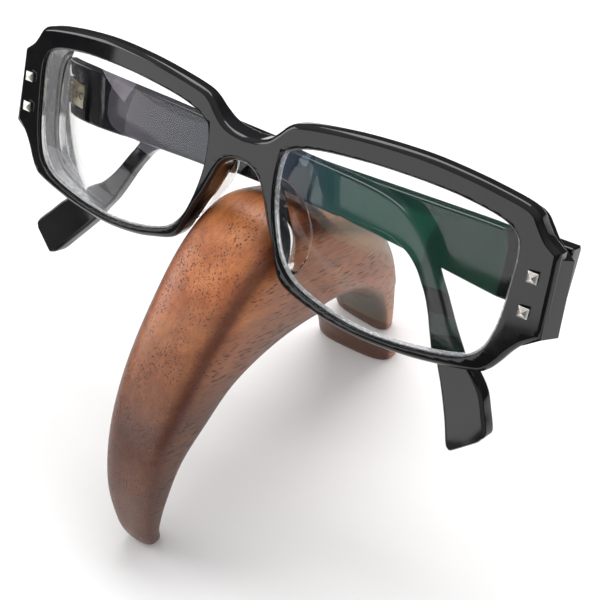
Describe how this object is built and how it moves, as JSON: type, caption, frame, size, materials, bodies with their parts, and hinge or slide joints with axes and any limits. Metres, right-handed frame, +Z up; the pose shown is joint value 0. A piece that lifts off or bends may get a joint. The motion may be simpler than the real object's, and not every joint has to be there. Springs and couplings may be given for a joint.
{
  "type": "eyeglass display rack",
  "caption": "Carved wooden arch rest with a folded pair of acetate eyeglasses leaning on its rounded nose; the glasses lift off and their temple hinges open.",
  "frame": {"origin": "centre of the small flat under the toe, where the rest touches the table", "axes": "+X towards the left temple hinge of the glasses, +Y from the toe back to the heel, +Z up"},
  "size_m": [0.1504, 0.1004, 0.0979],
  "materials": {
    "wood": "oiled satin walnut-like hardwood",
    "black_acetate": "polished black cellulose acetate",
    "clear_acetate": "polished clear acetate",
    "lens_glass": "polished, faint anti-reflection tint",
    "stud_metal": "polished",
    "hinge_metal": "pale gold plate, satin",
    "core_wire": "drawn nickel silver",
    "screw_steel": "turned"
  },
  "bodies": {
    "stand": {"wood_rest": "wood"},
    "eyeglass_front": {"frame_front": "black_acetate", "lens_left": "lens_glass", "lens_right": "lens_glass", "nose_pad_left": "clear_acetate", "nose_pad_right": "clear_acetate", "hinge_screw_left": "screw_steel", "hinge_front_leaf_left": "hinge_metal", "stud_left_upper": "stud_metal", "stud_left_lower": "stud_metal", "hinge_screw_right": "screw_steel", "hinge_front_leaf_right": "hinge_metal", "stud_right_upper": "stud_metal", "stud_right_lower": "stud_metal"},
    "temple_left": {"temple_left": "black_acetate", "core_wire_left": "core_wire", "hinge_temple_leaf_left": "hinge_metal", "temple_rivet_left_front": "hinge_metal", "temple_rivet_left_rear": "hinge_metal"},
    "temple_right": {"temple_right": "black_acetate", "core_wire_right": "core_wire", "hinge_temple_leaf_right": "hinge_metal", "temple_rivet_right_front": "hinge_metal", "temple_rivet_right_rear": "hinge_metal"}
  },
  "joints": [
    {"name": "glasses_lift", "type": "slide", "parent": "stand", "child": "eyeglass_front", "axis": [0, 0, 1], "range_m": [0, 0.08]},
    {"name": "temple_left_open", "type": "hinge", "parent": "eyeglass_front", "child": "temple_left", "pos_m": [0.07, 0.0516, 0.07417], "axis": [0, -0.2874, -0.9578], "range_deg": [0, 89]},
    {"name": "temple_right_open", "type": "hinge", "parent": "eyeglass_front", "child": "temple_right", "pos_m": [-0.07, 0.0516, 0.07417], "axis": [0, 0.2874, 0.9578], "range_deg": [0, 0.2]}
  ]
}
